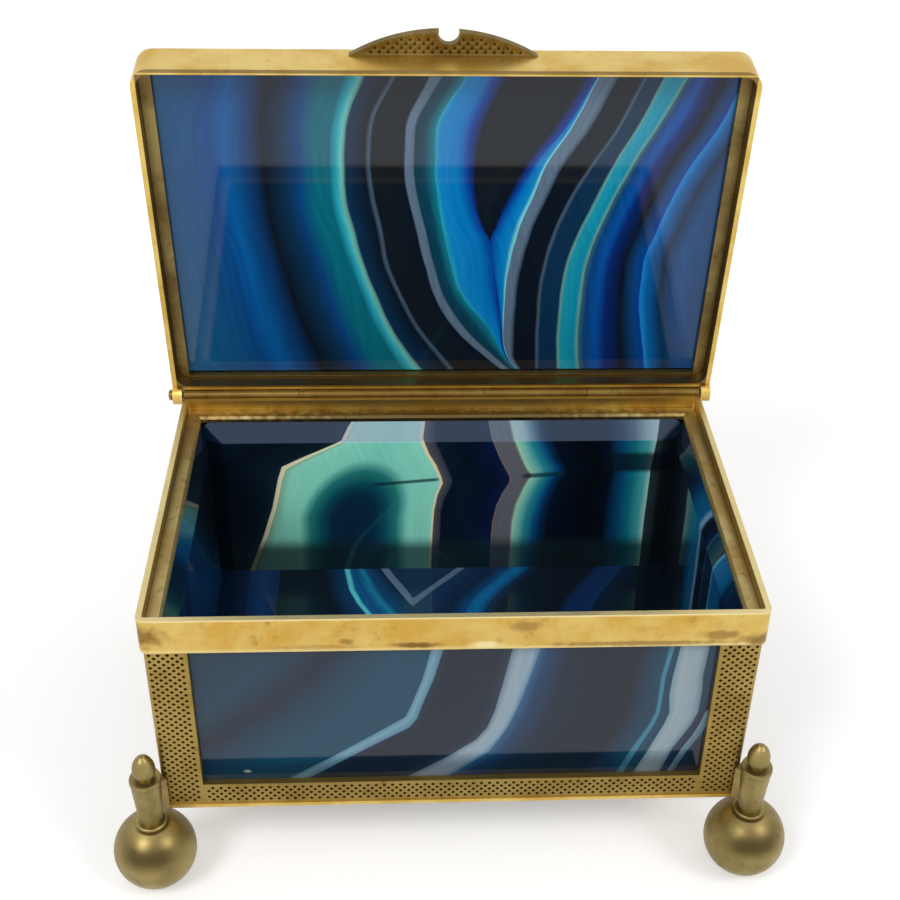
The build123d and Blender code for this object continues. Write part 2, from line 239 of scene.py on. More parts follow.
rim_colour = mix_colour(worn, rim_colour, srgb(*pale_gold))
stained(rim_gold, rim_colour, rim_place, [
    ((-4.5, rim_front, rim_top - 4.1), (4.0, 1.5, 0.6), umber, 0.85),
    ((21.0, rim_front, rim_top - 4.3), (15.0, 1.5, 0.5), umber, 0.6),
    ((-12.5, rim_front, rim_top - 3.4), (1.0, 1.5, 0.7), umber, 0.6),
    ((7.8, rim_front, rim_top - 1.5), (2.4, 1.5, 1.2), umber, 0.5),
    ((3.4, rim_front, rim_top - 4.2), (2.6, 1.5, 0.7), pale_gold, 0.8),
    ((30.5, rim_front, rim_top - 3.2), (3.4, 1.5, 1.0), umber, 0.6),
    ((-rim_side, rim_front, rim_top - 2.4), (4.2, 2.6, 2.2), umber, 0.75),
    ((rim_side, rim_front, rim_top - 4.0), (4.5, 2.6, 1.4), umber, 0.75),
    ((-16.0, rim_front, rim_top - 4.2), (7.0, 1.5, 0.5), umber, 0.3),
])
print("rim stains with", rim_gold.name)

# %% [markdown]
# ## The lid's brass
#
# The outside of the lid's band is bright, while its inside is painted darker and the underside of its far lip
# gets painted shade. The lid is open in this scene, so its places are measured in its own frame: across it, from
# the hinge axis towards its front edge, and through its thickness. One turn about the hinge brings the object's
# coordinates into that frame. The inside is where five conditions hold at once, and the last of them leaves the
# rounded outer corners bright. LID_REACH is the distance from the axis to the front face of the band.

# %% Lid brass
LID_REACH = 48.2
BAND_THICKNESS = 0.61
INSIDE_DEPTH = 2.15
HINGE_CLEAR = 1.25
CORNER_CUT = 1.38
LIP_WIDTH = 0.4
LIP_DEPTH = 0.15
INSIDE_DARK = 0.9
LIP_SHADE = 0.8
lid_back_turn = Euler((lid_turn + math.pi, 0, 0))
lid_origin = -(lid_back_turn.to_matrix() @ (hinge_place / MM))
lid_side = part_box("lid_band")[1].x / MM
lid_gold, lid_colour, _ = aged_brass(
    "lid_gold", (222, 194, 116), (206, 170, 82), (160, 124, 62), 0.36, 1.2, 0.03)
lid_x, lid_v, lid_n = separate(mapped(lid_gold, tuple(lid_back_turn), tuple(lid_origin)))
lid_n = math_node("MULTIPLY", lid_n, -1.0)
lid_off = math_node("ABSOLUTE", lid_x)


def below(value, limit, fade=0.03):
    """1 where a value is below a limit, 0 where it is above."""
    return map_range(value, limit - fade, limit + fade, 1.0, 0.0)


def over(value, limit, fade=0.05):
    """1 where a value is over a limit, 0 where it is below."""
    return map_range(value, limit - fade, limit + fade)


inside = product(
    below(lid_n, INSIDE_DEPTH, 0.05),
    below(lid_off, lid_side - BAND_THICKNESS),
    below(lid_v, LID_REACH - BAND_THICKNESS),
    over(lid_v, HINGE_CLEAR),
    below(math_node("ADD", lid_off, lid_v), lid_side + LID_REACH - CORNER_CUT, 0.04),
)
# The underside of the far lip gets painted shade, and the inside of the band is painted darker.
far_lip_shade = product(over(lid_v, LID_REACH - LIP_WIDTH), below(lid_n, LIP_DEPTH, 0.05))
lid_inside_dark_and_lip_shade = math_node("MAXIMUM", product(inside, INSIDE_DARK), product(far_lip_shade, LIP_SHADE))
set_surface(lid_gold, {"Base Color": mix_colour(lid_inside_dark_and_lip_shade, lid_colour, srgb(114, 92, 56))})
print("lid brass", lid_gold.name)

# %% [markdown]
# ## The feet, the ledges and the strips
#
# The other brasses are darker than the rim. The balls get a band of painted shade at the height where they curve
# away from the light, which fades towards their sides. The ledge inside the mouth is darker along the back, by
# the hinge. The dots of the strips are lined with the darkest brass.

# %% Other brasses
FOOT_OUT = 1.15
SHADE_BAND_HEIGHT = 7.4
SHADE_BAND_ACROSS = (1.6, 5.0)
SHADE_BAND_UP = (0.2, 2.3)
SHADE_BAND_STRENGTH = 0.82
foot_brass, foot_colour, foot_place = aged_brass(
    "foot_brass", (156, 138, 88), (132, 116, 70), (84, 66, 40), 0.38, 1.8, 0.05)
foot_along, _, foot_height = separate(foot_place)
# Painted shade: a dark band across the balls, fading towards their sides.
from_foot = math_node("SUBTRACT", math_node("ABSOLUTE", foot_along), rim_side + FOOT_OUT)
shade_band_middle = map_range(math_node("ABSOLUTE", from_foot), *SHADE_BAND_ACROSS, 1.0, 0.0)
from_shade_band = math_node("ABSOLUTE", math_node("SUBTRACT", foot_height, SHADE_BAND_HEIGHT))
ball_shade_band = map_range(from_shade_band, *SHADE_BAND_UP, SHADE_BAND_STRENGTH, 0.0)
ball_painted_shade = mix_colour(product(ball_shade_band, shade_band_middle), foot_colour, srgb(62, 50, 28))
set_surface(foot_brass, {"Base Color": ball_painted_shade})

ledge_brass, ledge_colour, ledge_place = aged_brass(
    "ledge_brass", (200, 182, 124), (184, 156, 96), (96, 76, 42), 0.4, 1.3, 0.08)
# The back of the ledge, by the hinge, is painted darker.
stained(ledge_brass, ledge_colour, ledge_place, [
    ((0, -rim_front - 2.2, rim_top - 2), (48, 2.4, 3), (90, 74, 44), 0.95),
])

plain_brasses = {
    "olive_strip": ((164, 140, 78), (146, 120, 62), (104, 80, 42), 0.42, 1.6, 0.05),
    "lid_ledge": ((148, 130, 82), (122, 102, 60), (82, 64, 38), 0.42, 1.3, 0.08),
    "hinge_gold": ((134, 110, 58), (112, 86, 40), (72, 54, 28), 0.3, 1.1, 0.08),
    "dark_brass": ((104, 86, 54), (84, 64, 36), (58, 44, 28), 0.45, 1.3, 0.1),
    "thumb_brass": ((128, 108, 58), (110, 90, 46), (80, 60, 32), 0.42, 1.3, 0.08),
    "pit_brass": ((98, 78, 42), (82, 64, 34), (56, 42, 24), 0.5, 1.3, 0.1),
}
brass = {name: aged_brass(name, *values)[0] for name, values in plain_brasses.items()}
print("other brasses", foot_brass.name, ledge_brass.name, *brass)

# %% [markdown]
# ## Veins in the agate
#
# Agate is banded: every vein follows its neighbours. A vein is described here as a line, given by its place
# across the slice at a few heights. Between one vein and the next runs a strip of colour. The material works
# the same way: a Float Curve turns height into the place of a vein, and a point's share of the way from one
# vein to the next picks its colour from that strip's ramp. A little noise shakes the lines, and fine lines
# follow the veins, as growth rings do.
#
# Each slice has one material on its object coordinates, so the veins run through its whole thickness and
# show on both faces.


# %% Vein helpers
ACROSS_LIMIT = 40.0
VEIN_EDGE = 0.12
SHAKES_PER_MM = 0.12
RINGS_PER_MM = 1.6
RING_DRIFT = 0.04
RING_TONES = (0.3, 0.7)
LEAST_WIDTH = 0.001


def vein_curve(along, span, points, sharp):
    """The place across the slice, in millimetres, of a vein given as (height, place) points."""
    output = add_node("ShaderNodeFloatCurve", {"Value": along})
    mapping = output.node.mapping
    curve = mapping.curves[0]
    low, high = span
    spots = sorted(((h - low) / (high - low), (p + ACROSS_LIMIT) / (2 * ACROSS_LIMIT)) for h, p in points)
    while len(curve.points) < len(spots):
        curve.points.new(0.5, 0.5)
    for point, spot in zip(curve.points, spots):
        point.location = spot
        point.handle_type = "VECTOR" if sharp else "AUTO_CLAMPED"
    mapping.use_clip = False
    mapping.update()
    return math_node("SUBTRACT", product(output, 2 * ACROSS_LIMIT), ACROSS_LIMIT)


def ramp(share, stops):
    """Paint chart colours along a share: the first at 0, the last at 1, and (share, colour) pairs between."""
    output = add_node("ShaderNodeValToRGB", {"Fac": share}, "Color")
    elements = output.node.color_ramp.elements
    first, *between, last = stops
    while len(elements) < len(stops):
        elements.new(0.5)
    for element, (position, colour) in zip(elements, [(0.0, first), *between, (1.0, last)]):
        element.position = position
        element.color = srgb(*colour)
    return output


def at_heights(heights, *rows):
    """Veins whose points share their heights. Each row holds the places of one vein, and its stops."""
    return [(list(zip(heights, places)), stops) for places, stops in rows]


def veined(place, span, first_stops, veins, wobble=0.3, sharp=False, rings_depth=0.12):
    """The colour of a slice. veins holds (points, stops): a line, and the colours up to the next line."""
    across, height, _ = separate(place)
    shake = math_node("SUBTRACT", noise_node(place, SHAKES_PER_MM, 2.0), 0.5)
    across = math_node("ADD", across, product(shake, wobble * 2))
    along = map_range(height, *span, smooth=False)
    lines = [vein_curve(along, span, points, sharp) for points, _ in veins]
    before = math_node("ADD", lines[0], -ACROSS_LIMIT)
    after = math_node("ADD", lines[-1], ACROSS_LIMIT / 2)
    edges = [before] + lines + [after]
    strips = [first_stops] + [stops for _, stops in veins]
    colour = None
    for start, end, stops in zip(edges, edges[1:], strips):
        way = math_node("SUBTRACT", across, start)
        width = math_node("MAXIMUM", math_node("SUBTRACT", end, start), LEAST_WIDTH)
        strip = ramp(math_node("DIVIDE", way, width, clamp=True), stops)
        if colour is None:
            colour = strip
        else:
            passed = math_node("DIVIDE", way, VEIN_EDGE, clamp=True)
            colour = mix_colour(passed, colour, strip)
    middle = lines[len(lines) // 2]
    from_middle = math_node("SUBTRACT", across, middle)
    ring_place = add_node("ShaderNodeCombineXYZ", {0: from_middle, 1: product(height, RING_DRIFT)})
    rings = noise_node(ring_place, RINGS_PER_MM, 3.0, 0.6)
    shade = map_range(rings, *RING_TONES, 1 - rings_depth, 1 + rings_depth, smooth=False)
    return add_node("ShaderNodeVectorMath", {0: colour, "Scale": shade}, operation="SCALE")


POLISH = 0.04
AGATE_IOR = 1.54
SHEEN = 0.33


def polish(material, colour):
    """Gives a slice its colour and a soft, glassy shine."""
    set_surface(material, {"Base Color": colour, "Roughness": POLISH})
    set_surface(material, {"IOR": AGATE_IOR, "Specular IOR Level": SHEEN})


# Dyes and stone tones, named as a cutter would. Ramps take them as a paint chart gives them.
night = (14, 24, 36)
coal = (18, 26, 34)
navy = (14, 48, 78)
deep_blue = (12, 66, 122)
royal = (8, 60, 150)
sky = (6, 118, 190)
azure = (16, 132, 196)
mid_blue = (18, 76, 134)
teal = (10, 104, 122)
dark_teal = (12, 58, 78)
aqua = (44, 168, 188)
pale_cyan = (128, 220, 224)
tan = (100, 158, 150)
mist = (92, 114, 136)
line_grey = (70, 90, 112)
print("vein tones ready")

# %% [markdown]
# ## The lid's slice
#
# The lid's slice has two families of veins that meet in a point near the hinge, with a bright blue field
# between them. Heights are measured from the hinge axis, along the lid. The drawings of the lid and the walls are
# also shifted, by about half a millimetre or less, which brings the veins to the places where the frame cuts
# them in the photograph.

# %% Lid agate
LID_SPAN = (0.0, 47.0)
LID_SHIFT = 0.54
lid_veins = [
    *at_heights(
        (47, 38, 30, 20, 10, 0),
        ((-26, -27.5, -27.2, -26, -24, -21.5),
         [(10, 90, 152), (0.22, deep_blue), (0.5, night), (0.8, navy), deep_blue]),
        ((-17.5, -18.5, -18.5, -16.5, -14, -10),
         [deep_blue, (0.35, teal), (0.7, teal), (0.86, aqua), (0.95, (100, 186, 176)), tan]),
    ),
    *at_heights(
        (47, 40, 35, 30, 25, 20, 15, 10, 5, 0),
        ((-10.2, -12.7, -13, -12.9, -12, -10.8, -9.3, -7.5, -4.8, -1.5),
         [tan, (0.1, navy), (0.85, night), line_grey]),
        ((-6.3, -9.5, -9.8, -9.3, -8.5, -7.7, -6, -3.8, -0.6, 3), [line_grey, (0.08, coal), (0.6, coal), night]),
        ((-2.4, -5.3, -5.4, -4.9, -3.9, -2.8, -1.4, 1.0, 5.4, 11), [night, (0.2, mist), (0.8, mist), dark_teal]),
        ((-0.6, -3.9, -4.0, -3.5, -2.5, -1.4, 0.1, 2.7, 7.0, 12),
         [dark_teal, (0.5, (14, 66, 86)), (20, 120, 140)]),
        ((2.0, -1.5, -1.6, -1.1, -0.4, 0.7, 2.3, 5.8, 8.4, 12.2),
         [(44, 164, 182), (0.14, azure), (0.7, sky), royal]),
    ),
    *at_heights(
        (47, 40, 35, 30, 26, 23.5, 15, 10, 5, 0),
        ((6.0, 3.0, 2.6, 3.2, 4.5, 5.8, 7.0, 7.7, 8.6, 12.3),
         [royal, (0.12, night), (0.5, coal), (0.88, night), royal]),
        ((18.0, 14.4, 11, 8.4, 6.8, 5.9, 7.1, 7.8, 8.7, 12.4), [royal, (0.4, sky), (0.8, azure), pale_cyan]),
    ),
    *at_heights(
        (47, 40, 35, 30, 25, 20, 15, 10, 5, 0),
        ((18.2, 15.2, 12.6, 10.9, 9.4, 8.5, 8.1, 8.0, 8.8, 12.5), [mist, (0.8, mist), line_grey]),
        ((20.4, 17.4, 14.6, 12.6, 11, 10, 9.5, 9.3, 9.5, 12.6),
         [line_grey, (0.1, night), (0.9, night), line_grey]),
        ((23.8, 21.2, 18.5, 16, 14.3, 13.3, 12.8, 12.8, 13, 13.4), [line_grey, (0.12, navy), (0.9, navy), tan]),
        ((26.2, 23.6, 21.2, 19.3, 17.5, 16.2, 15.8, 15.8, 16, 16.4),
         [tan, (0.12, (30, 150, 172)), (0.8, (8, 138, 168)), tan]),
        ((29.0, 26.0, 23.5, 21.4, 19.8, 18.7, 18.5, 18.5, 18.7, 19.4),
         [(60, 104, 110), (0.1, deep_blue), (0.28, (10, 80, 160)), (0.42, (10, 40, 108)), (0.68, night),
          (0.9, deep_blue), royal]),
        ((36.0, 33.5, 31, 29, 27.6, 26.4, 26.4, 27, 28, 28.6),
         [(26, 132, 200), (0.05, (12, 92, 160)), (0.14, navy), (0.25, mid_blue), navy]),
    ),
]
lid_first = [(20, 92, 138), (0.7, (20, 92, 138)), (0.88, (18, 76, 126)), (0.95, (12, 70, 132)), (10, 88, 154)]

lid_agate = new_material("lid_agate_veins")
lid_place = mapped(lid_agate, tuple(lid_back_turn), tuple(lid_origin + Vector((0, LID_SHIFT, 0))))
polish(lid_agate, veined(lid_place, LID_SPAN, lid_first, lid_veins))
print("lid veins", len(lid_veins))

# %% [markdown]
# ## The front slice
#
# The front has three pale veins. The left one bends sharply, as veins do where agate grew round a corner. The
# wall's own faces are vertical, so its height is the object's Z, which a quarter turn brings to the place
# that the vein helper reads.

# %% Front agate
WALL_SPAN = (12.0, 42.0)
FRONT_TURN = (-math.pi / 2, 0, 0)
FRONT_SHIFT = -0.23
FOOT_SHADE = (15.5, 18.5)
FOOT_SHADE_STRENGTH = 0.55
CHIP_PLACE = (-25.2, 15.3)
CHIP_REACH = (0.62, 0.32, 6.0)
smoke = (96, 118, 134)
chalk = (136, 152, 164)
front_veins = [
    ([(35, -14), (30, -18), (25, -23.5), (20, -30), (15, -36)],
     [(20, 30, 48), (0.3, (16, 52, 76)), (0.65, (14, 66, 88)), (14, 64, 86)]),
    ([(35, -2.8), (30, -3.9), (25.5, -5.3), (24, -5.9), (20, -11.4), (17.5, -14.9), (15, -18.6)],
     [(80, 124, 144), (0.45, (108, 146, 164)), (78, 120, 140)]),
    ([(35, -1.4), (30, -2.6), (25.5, -4.0), (23.7, -4.5), (22.3, -5.4), (20, -8.9), (17.5, -12.6), (15, -16.2)],
     [(20, 40, 58), (0.12, (14, 28, 44)), (0.85, (16, 28, 46)), (28, 46, 64)]),
    ([(35, 6.6), (30, 5.7), (25, 4.8), (22, 3.9), (20, 2.6), (18.5, 0.8), (17, -1), (15, -4)],
     [(96, 114, 132), (0.3, chalk), (0.8, (130, 152, 168)), (84, 122, 150)]),
    ([(35, 9.9), (30, 8.7), (25, 7.4), (22, 6.4), (20, 5.4), (18, 4.3), (15, 0.8)],
     [(40, 86, 122), (0.08, (14, 52, 88)), (0.25, (12, 32, 52)), (0.5, (12, 24, 38)), (0.78, (12, 24, 40)),
      (0.9, (10, 46, 70)), (10, 58, 82)]),
    *at_heights(
        (35, 30, 26, 24, 22, 20, 18, 15),
        ((24.9, 24.3, 24.3, 24.2, 23.6, 22.7, 21.8, 20.6), [(44, 108, 130), (60, 120, 140)]),
        ((25.5, 24.8, 24.8, 24.7, 24.2, 23.4, 22.6, 21.5), [(16, 64, 88), (16, 52, 76)]),
    ),
    ([(35, 26.2), (30, 25.7), (27, 25.6), (24, 25.9), (22, 25.4), (20, 24.7), (17.5, 23.8), (15, 22.8)],
     [(104, 136, 150), (0.25, (138, 154, 162)), (0.8, (130, 148, 158)), smoke]),
    ([(35, 29.6), (30, 29.3), (27, 29.5), (24, 29.4), (22, 28.8), (20, 27.9), (18, 26.9), (15, 26)],
     [(18, 50, 76), (14, 28, 48)]),
    *at_heights(
        (35, 26, 24, 22, 20, 18, 15),
        ((36, 32, 30.3, 29.8, 29.1, 28.1, 27), [(96, 122, 140), (70, 100, 122)]),
        ((37, 33, 31.3, 30.8, 30.1, 29.0, 27.8), [(14, 34, 54), (0.1, night), night]),
    ),
]
front_first = [(20, 34, 50), (0.6, (18, 44, 64)), (0.85, (18, 54, 76)), (20, 30, 48)]
front_agate = new_material("front_agate_veins")
front_place = mapped(front_agate, FRONT_TURN, (0, FRONT_SHIFT, 0))
front_colour = veined(front_place, WALL_SPAN, front_first, front_veins, wobble=0.1, sharp=True, rings_depth=0.05)
# Painted shade: the slice is darker towards its foot, below FOOT_SHADE.
foot_painted_shade = map_range(separate(front_place)[1], *FOOT_SHADE, FOOT_SHADE_STRENGTH, 0.0)
front_colour = mix_colour(foot_painted_shade, front_colour, srgb(12, 26, 38))
chip = smudge(front_place, (*CHIP_PLACE, -rim_front), CHIP_REACH)
polish(front_agate, mix_colour(chip, front_colour, srgb(126, 136, 116)))
print("front veins", len(front_veins))

# %% [markdown]
# ## The back slice
#
# The back is the brightest slice: the light that comes through the stone is painted into its colours, which are
# raised well above the stone's own. Its green arch has a dark core, which is round at the top, so the core is
# measured as a distance from a centre and not as a pair of lines. Two fine cracks, given by slope, level, start,
# end and thickness, cross the veins, and a dark patch hides part of the last one. Near the rail at its foot the
# slice gets painted shade, and its bevelled top edge gets a painted sheen, which mixes the veins towards a pale
# haze.

# %% Back agate
BACK_SHIFT = 0.37
CORE_CENTRE = (-13.0, 23.0)
CORE_LEAN = 0.25
CORE_REACH = (5.0, 6.6)
CORE_EDGE = (1.4, 1.65)
CRACKS = ((0.06, 29.4, 10.8, 17.6, 0.55), (0.09, 29.7, -10.5, -0.2, 0.38))
PATCH_SIDE, PATCH_FOOT, PATCH_TOP = (21.5, 25.6), (30.2, 31.2), (33.4, 34.4)
LOW_SHADE_HEIGHTS = (17.0, 20.0)
CRACK_DARK, PATCH_DARK, LOW_SHADE_STRENGTH = 0.85, 0.9, 0.85
CRACK_FADE = 1.0
BEVEL_FOOT, BEVEL_FADE = 35.95, 0.15
SHEEN_HAZE_TONES, SHEEN_HAZE_SHARE = (0.01, 0.4), 0.75
# Painted light: these greens are raised well above the stone's own, for the light that comes through the slice.
sea_lit_through = (156, 244, 218)
leaf_lit_through = (138, 232, 212)
stone = (104, 108, 116)
back_veins = [
    ([(40, -12), (38, -13.4), (36.3, -14.3), (33.5, -20), (32, -22.8), (30, -23.4), (25, -24.5), (20, -26),
      (14, -28.2)],
     [(236, 236, 188), (255, 250, 206)]),
    ([(40, -11.6), (38, -12.9), (36.3, -13.7), (33.2, -19.6), (31.6, -22.2), (30, -22.8), (25, -23.9),
      (20, -25.4), (14, -27.6)],
     [(150, 196, 160), (0.06, sea_lit_through), (0.6, leaf_lit_through), sea_lit_through]),
    *at_heights(
        (40, 36.5, 34, 32, 30, 29, 27, 24, 20, 15),
        ((-2.9, -3.5, -2.6, -1.6, -0.8, -0.6, -1.2, -1.7, -1.9, -2), [(255, 254, 214), (252, 236, 184)]),
        ((-2.5, -3.0, -2.1, -1.1, -0.4, -0.2, -0.9, -1.4, -1.6, -1.7), [(96, 92, 96), (52, 62, 78)]),
    ),
    ([(40, -1.4), (36.5, -1.4), (34, -0.5), (32, 0.3), (29.3, 1.2), (28, 0.8), (26, 0), (24, -0.4), (20, -0.5),
      (15, -0.5)],
     [(14, 28, 44), (0.4, (12, 22, 38)), (0.8, (12, 24, 54)), (14, 30, 70)]),
    ([(40, 5.8), (36.5, 6.6), (33, 7.9), (30, 9.3), (29, 9.3), (27, 8.3), (25, 7.6), (22, 7.1), (20, 7), (15, 7)],
     [(150, 120, 98), (0.1, stone), (0.9, stone), (140, 152, 140)]),
    *at_heights(
        (40, 36, 33, 31.3, 30.2, 29.5, 28, 25, 22, 15),
        ((8.9, 9.9, 11, 11.8, 12.6, 12.1, 11.4, 10.4, 10, 9.9),
         [(176, 228, 196), (0.3, (120, 204, 190)), (0.6, (44, 150, 164)), (12, 88, 138)]),
        ((12.7, 13.6, 14.9, 16, 15.6, 15.2, 14.6, 13.7, 13.1, 12.8),
         [(12, 88, 138), (0.07, (10, 50, 92)), (0.16, (9, 22, 40)), (0.6, (8, 14, 20)), (0.84, (8, 22, 40)),
          (10, 80, 128)]),
    ),
    *at_heights(
        (40, 31, 24, 15),
        ((24.5, 25.5, 25.2, 25.5),
         [(10, 80, 128), (0.4, (20, 136, 156)), (0.8, (80, 196, 202)), (190, 246, 240)]),
        ((30.2, 29.4, 29.3, 29.3), [(52, 70, 76), (0.1, (26, 34, 38)), night]),
    ),
]
back_first = [night, (0.55, (14, 30, 50)), (0.8, (12, 24, 36)), (0.97, (16, 32, 44)), (20, 44, 56)]
back_agate = new_material("back_agate_veins")
back_place = mapped(back_agate, FRONT_TURN, (0, BACK_SHIFT, 0))
back_colour = veined(back_place, WALL_SPAN, back_first, back_veins, wobble=0.12, sharp=True, rings_depth=0.06)
back_x, back_z, _ = separate(back_place)

above = math_node("MAXIMUM", math_node("SUBTRACT", back_z, CORE_CENTRE[1]), 0.0)
lean = math_node("MULTIPLY", above, CORE_LEAN)
beside = math_node("SUBTRACT", math_node("SUBTRACT", back_x, CORE_CENTRE[0]), lean)
wide, high = (math_node("POWER", math_node("DIVIDE", way, reach), 2.0)
              for way, reach in zip((beside, above), CORE_REACH))
from_core = math_node("SQRT", math_node("ADD", wide, high))
core = ramp(math_node("DIVIDE", from_core, 2.0), [
    (14, 44, 66), (0.3, (12, 50, 74)), (0.45, (14, 84, 100)), (0.62, (40, 138, 134)), (0.78, leaf_lit_through), sea_lit_through])
core_mask = map_range(from_core, *CORE_EDGE, 1.0, 0.0)
back_colour = mix_colour(core_mask, back_colour, core)


def crack(across, height, level, start, end, thickness):
    """1 along a short crack, whose level can change across the slice."""
    off = math_node("ABSOLUTE", math_node("SUBTRACT", height, level))
    near = map_range(off, thickness * 0.4, thickness, 1.0, 0.0)
    begun = map_range(across, start, start + CRACK_FADE)
    ended = map_range(across, end - CRACK_FADE, end, 1.0, 0.0)
    return product(near, begun, ended)


cracks = []
for slope, level, start, end, thickness in CRACKS:
    line = math_node("ADD", product(back_x, slope), level)
    cracks.append(crack(back_x, back_z, line, start, end, thickness))
cracked = product(math_node("MAXIMUM", *cracks), CRACK_DARK)
back_colour = mix_colour(cracked, back_colour, srgb(14, 56, 64))
patch_height = product(map_range(back_z, *PATCH_FOOT), map_range(back_z, *PATCH_TOP, 1.0, 0.3))
patch = product(map_range(back_x, *PATCH_SIDE), patch_height, PATCH_DARK)
back_colour = mix_colour(patch, back_colour, srgb(*night))
# Painted shade near the rail at the foot of the slice.
low_painted_shade = map_range(back_z, *LOW_SHADE_HEIGHTS, LOW_SHADE_STRENGTH, 0.0)
back_colour = mix_colour(low_painted_shade, back_colour, srgb(10, 34, 38))
# Painted sheen: the bevelled top edge is mixed towards a pale haze, which stands for its reflection of white.
grey = add_node("ShaderNodeRGBToBW", {0: back_colour})
painted_sheen = mix_colour(map_range(grey, *SHEEN_HAZE_TONES), srgb(34, 58, 88), srgb(148, 162, 184))
bevel_sheen_share = map_range(back_z, BEVEL_FOOT, BEVEL_FOOT + BEVEL_FADE, 0.0, SHEEN_HAZE_SHARE)
back_colour = mix_colour(bevel_sheen_share, back_colour, painted_sheen)
polish(back_agate, back_colour)
print("back veins", len(back_veins))

# %% [markdown]
# ## The two side slices
#
# Each side is seen only along its inside, from above. Across is the object's Y and height is its Z, so the
# mapping is a change of axes.

# %% Side agates
SIDE_SHIFT = (-0.5, 0.5, 0)
SIDE_TURN = tuple(Matrix(((0, 1, 0), (0, 0, 1), (1, 0, 0))).to_euler())
right_veins = [
    *at_heights(
        (42, 37, 12),
        ((-16.5, -15, -14.5), [(14, 60, 90), (0.3, (14, 88, 132)), (12, 96, 146)]),
        ((-12.2, -9.9, -9.7), [(80, 150, 180), (70, 130, 160)]),
        ((-11.6, -9.3, -9.1), [(14, 40, 60), (0.5, (16, 34, 52)), (20, 44, 66)]),
        ((-8.4, -5.6, -5.6), [(54, 80, 110), (34, 54, 80)]),
        ((-8.0, -5.2, -5.2), [(14, 24, 42), (0.8, (14, 22, 40)), (30, 50, 72)]),
    ),
    *at_heights(
        (42, 37, 34, 24, 12),
        ((-5.2, -1.6, -2.1, -2.5, -2.8), [(84, 110, 140), (0.5, (112, 150, 180)), (60, 120, 150)]),
        ((-3.6, -0.1, -0.6, -1.0, -1.4),
         [(14, 96, 140), (0.35, (16, 88, 130)), (0.7, (14, 60, 96)), (12, 36, 56)]),
    ),
    ([(42, 5.5), (37, 7), (30, 6), (24, 5), (12, 3)], [(12, 36, 56), (0.15, coal), night]),
]
right_first = [night, (0.9, (14, 30, 52)), (14, 44, 72)]
left_veins = [
    ([(42, -12), (36, -9), (12, -14)], [(14, 40, 70), (0.25, (16, 64, 104)), (16, 60, 112)]),
    ([(42, -3), (34, 0), (29, 3.5), (22, 10), (12, 22)],
     [(30, 86, 116), (0.06, (16, 52, 84)), (0.3, (20, 34, 44)), (0.6, coal), night]),
]
left_first = [night, (0.7, (16, 28, 42)), (14, 36, 58)]
side_agates = {}
for side_name, first, veins in (("right", right_first, right_veins), ("left", left_first, left_veins)):
    side_agate = new_material(side_name + "_agate_veins")
    side_place = mapped(side_agate, SIDE_TURN, SIDE_SHIFT)
    polish(side_agate, veined(side_place, WALL_SPAN, first, veins))
    side_agates["agate_" + side_name] = side_agate
print("side agates", sorted(side_agates))

# %% [markdown]
# ## The floor slice
#
# The floor lies flat, so its own X and Y serve. Two grey veins meet in a V in its middle.

# %% Floor agate
FLOOR_SPAN = (-24.0, 24.0)
floor_ground = (14, 36, 62)
floor_veins = [
    *at_heights(
        (24, 0, -24),
        ((-28.5, -28, -27), [(18, 50, 92), (0.5, (22, 62, 112)), (18, 50, 92)]),
        ((-24, -24, -23), [(14, 28, 44), (0.7, (12, 26, 38)), (12, 60, 100)]),
    ),
    *at_heights(
        (24, 19.5, 15, 12, 10, 0, -24),
        ((-14.9, -14.5, -13.7, -12.6, -11.5, -5.5, 6), [(60, 170, 184), (0.6, (96, 200, 206)), (40, 140, 170)]),
        ((-14.1, -13.6, -12.8, -11.7, -10.6, -4.4, 7.4), [(14, 90, 140), (0.5, (14, 76, 124)), (18, 110, 150)]),
        ((-12.6, -12, -10.6, -9.2, -8, -1, 12), [(30, 130, 160), (0.3, (14, 66, 108)), floor_ground]),
    ),
    ([(24, -11), (18.5, -8.6), (15, -6.8), (11.6, -4.9), (11.2, -4.5), (0, 0), (-24, 13.2)],
     [(90, 112, 134), (84, 106, 128)]),
    *at_heights(
        (24, 18.5, 15, 12.9, 11.2, 0, -24),
        ((-9.9, -7.4, -5.5, -4.5, -4.5, 0, 13.2), [(18, 46, 72), (18, 46, 72)]),
        ((5.9, 0.9, -2.5, -4.5, -4.5, 0, 13.2), [(84, 106, 128), (76, 100, 124)]),
    ),
    ([(24, 7.1), (18.5, 2.1), (15, -1.3), (11.6, -4.2), (11.2, -4.5), (0, 0), (-24, 13.2)],
     [(18, 48, 84), (0.7, floor_ground), (12, 66, 112)]),
    *at_heights(
        (24, 19.5, 15, 12, 9, 6, 3, 0, -5, -12, -24),
        ((13, 9.8, 5.9, 3.9, 2.6, 2.2, 2.5, 3.2, 5, 8.6, 16),
         [(10, 86, 134), (0.5, (12, 100, 152)), (10, 66, 112)]),
        ((16, 12.6, 8.6, 6.6, 5.4, 4.9, 5.1, 5.9, 7.6, 11, 18),
         [(12, 50, 84), (0.15, (12, 28, 44)), (0.9, (12, 24, 38)), (14, 44, 86)]),
    ),
    *at_heights(
        (24, 19, 14, 11, 8, 4, -4, -14, -24),
        ((26, 23, 19.4, 17.6, 16.6, 16.2, 17, 19.6, 22), [(14, 44, 86), (14, 50, 96)]),
        ((30, 26.5, 23, 21.3, 20.5, 20.2, 21, 23.4, 26), [(12, 34, 60), (0.2, night), night]),
    ),
]
floor_first = [night, (0.9, (12, 26, 44)), (14, 40, 72)]
floor_agate = new_material("floor_agate_veins")
floor_place = mapped(floor_agate)
polish(floor_agate, veined(floor_place, FLOOR_SPAN, floor_first, floor_veins, wobble=0.2, sharp=True))
